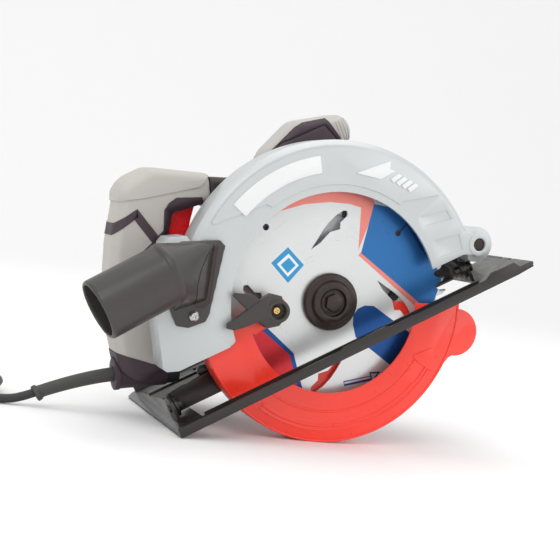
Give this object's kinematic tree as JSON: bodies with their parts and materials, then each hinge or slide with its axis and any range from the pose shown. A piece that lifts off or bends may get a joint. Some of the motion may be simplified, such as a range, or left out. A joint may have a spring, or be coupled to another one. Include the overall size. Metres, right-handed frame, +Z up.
{
  "type": "circular saw",
  "caption": "Hand-held circular saw with a toothed disc blade, fixed and swinging guards, tilting shoe, rear trigger grip, front grip, dust outlet and mains lead.",
  "frame": {"origin": "on the surface the saw stands on, below the centre of the saw's box with the free lead left out", "axes": "+X towards the saw's front, +Y from the blade towards the motor, +Z up; the saw's own axes are turned 30.44 degrees about -Y, nose up, so that it stands on its lower guard and on the shoe's rear edge"},
  "size_m": [0.5539, 0.2499, 0.2644],
  "materials": {
    "guard_alloy": "silver-painted die casting, satin",
    "mark_white": "white raised marking",
    "case_alloy": "die-cast, satin",
    "plate_alloy": "machined",
    "housing_grey": "moulded, fine texture",
    "cap_dark": "moulded, fine texture",
    "lamination": "stacked steel sheets",
    "winding": "varnished copper wire",
    "holder_dark": "moulded",
    "carbon": "pressed carbon",
    "bearing_steel": "ground",
    "grip_grey": "moulded, fine texture",
    "grip_dark": "soft overmould",
    "column_black": "moulded",
    "switch_black": "moulded",
    "port_charcoal": "moulded, fine texture",
    "screw_steel": "zinc plated",
    "spring_steel": "spring steel",
    "bumper_rubber": "soft rubber",
    "lead_rubber": "rubber sheath",
    "relief_rubber": "soft rubber",
    "pin_nickel": "nickel plated",
    "blade_steel": "ground, printed in places",
    "carbide": "ground carbide",
    "flange_black": "black oxide",
    "machined_steel": "turned",
    "guard_red": "red-orange gloss enamel",
    "lever_charcoal": "moulded",
    "brass_screw": "yellow zinc",
    "shoe_black": "black gloss enamel",
    "trigger_red": "moulded, smooth",
    "button_black": "moulded, smooth",
    "button_red": "moulded, smooth"
  },
  "bodies": {
    "saw_body": {"upper_guard": "guard_alloy", "guard_markings": "mark_white", "gear_case": "case_alloy", "bearing_plate": "plate_alloy", "motor_housing": "housing_grey", "motor_end_cap": "cap_dark", "stator_core": "lamination", "field_coils": "winding", "brush_holders": "holder_dark", "carbon_brushes": "carbon", "brush_caps": "button_black", "ball_bearings": "bearing_steel", "handle_near_shell": "grip_grey", "handle_far_shell": "grip_grey", "handle_column": "column_black", "switch_body": "switch_black", "front_handle_core": "grip_dark", "front_handle_shell": "grip_grey", "dust_port": "port_charcoal", "dust_port_screw": "screw_steel", "guard_circlip": "spring_steel", "guard_spring": "spring_steel", "guard_bumper": "bumper_rubber", "front_pivot_pin": "flange_black", "depth_lock_stud": "machined_steel", "cord_gland": "grip_dark", "cord_clamp": "switch_black", "strain_relief": "relief_rubber", "cord": "lead_rubber", "cord_coil": "lead_rubber", "plug_body": "lead_rubber", "plug_pins": "pin_nickel", "gear_case_screws": "screw_steel", "housing_screws": "screw_steel"},
    "blade_set": {"blade": "blade_steel", "carbide_tips": "carbide", "outer_flange": "flange_black", "inner_flange": "machined_steel", "blade_bolt": "flange_black", "spindle": "machined_steel", "driven_gear": "machined_steel"},
    "armature": {"armature_shaft": "machined_steel", "pinion": "machined_steel", "armature_core": "lamination", "armature_windings": "winding", "commutator": "winding", "fan": "holder_dark"},
    "lower_guard": {"lower_guard": "guard_red", "retract_lever": "lever_charcoal", "lever_screw": "brass_screw"},
    "depth_frame": {"depth_frame_front": "shoe_black", "depth_frame_rear": "shoe_black"},
    "shoe": {"shoe": "shoe_black", "bevel_bracket": "shoe_black"},
    "depth_lock_lever": {"depth_lock_lever": "shoe_black"},
    "bevel_lock_knob": {"bevel_lock_knob": "shoe_black"},
    "fence_screw": {"fence_screw": "shoe_black"},
    "trigger": {"trigger": "trigger_red"},
    "lock_off_button": {"lock_off_button": "button_black"},
    "spindle_lock_button": {"spindle_lock_button": "button_red"}
  },
  "joints": [
    {"name": "blade_spin", "type": "hinge", "parent": "saw_body", "child": "blade_set", "pos_m": [0.0278, -0.047, 0.1116], "axis": [0, 1, 0], "continuous": true},
    {"name": "armature_spin", "type": "hinge", "parent": "saw_body", "child": "armature", "pos_m": [0.01197, 0.04, 0.13854], "axis": [0, 1, 0], "continuous": true},
    {"name": "guard_swing", "type": "hinge", "parent": "saw_body", "child": "lower_guard", "pos_m": [0.0278, -0.05, 0.1116], "axis": [0, 1, 0], "range_deg": [0, 135], "stiffness_Nm_per_rad": 0.25, "springref_deg": -91.67},
    {"name": "depth_swing", "type": "hinge", "parent": "saw_body", "child": "depth_frame", "pos_m": [0.14637, -0.039, 0.17432], "axis": [0, -1, 0], "range_deg": [0, 27]},
    {"name": "bevel_swing", "type": "hinge", "parent": "depth_frame", "child": "shoe", "pos_m": [0.14514, -0.057, 0.15272], "axis": [-0.8621, 0, -0.5067], "range_deg": [0, 45]},
    {"name": "depth_lock", "type": "hinge", "parent": "saw_body", "child": "depth_lock_lever", "pos_m": [-0.02285, -0.037, 0.05864], "axis": [0, 1, 0], "range_deg": [0, 45]},
    {"name": "bevel_lock", "type": "hinge", "parent": "depth_frame", "child": "bevel_lock_knob", "pos_m": [0.14462, -0.0087, 0.16743], "axis": [0.8621, 0, 0.5067], "range_deg": [0, 90]},
    {"name": "fence_clamp", "type": "hinge", "parent": "shoe", "child": "fence_screw", "pos_m": [0.17014, 0.013, 0.16742], "axis": [-0.5067, 0, 0.8621], "range_deg": [0, 180]},
    {"name": "trigger_pull", "type": "hinge", "parent": "saw_body", "child": "trigger", "pos_m": [-0.11466, -0.012, 0.15663], "axis": [0, 1, 0], "range_deg": [0, 12], "stiffness_Nm_per_rad": 0.8, "springref_deg": -6.88},
    {"name": "lock_off_press", "type": "slide", "parent": "saw_body", "child": "lock_off_button", "axis": [0, -1, 0], "range_m": [0, 0.003], "stiffness_N_per_m": 600, "springref_m": -0.002},
    {"name": "spindle_lock_press", "type": "slide", "parent": "saw_body", "child": "spindle_lock_button", "axis": [-0.8621, 0, -0.5067], "range_m": [0, 0.003], "stiffness_N_per_m": 800, "springref_m": -0.002}
  ],
  "couplings": [
    {"joint": "armature_spin", "follows": "blade_spin", "ratio": -4}
  ]
}
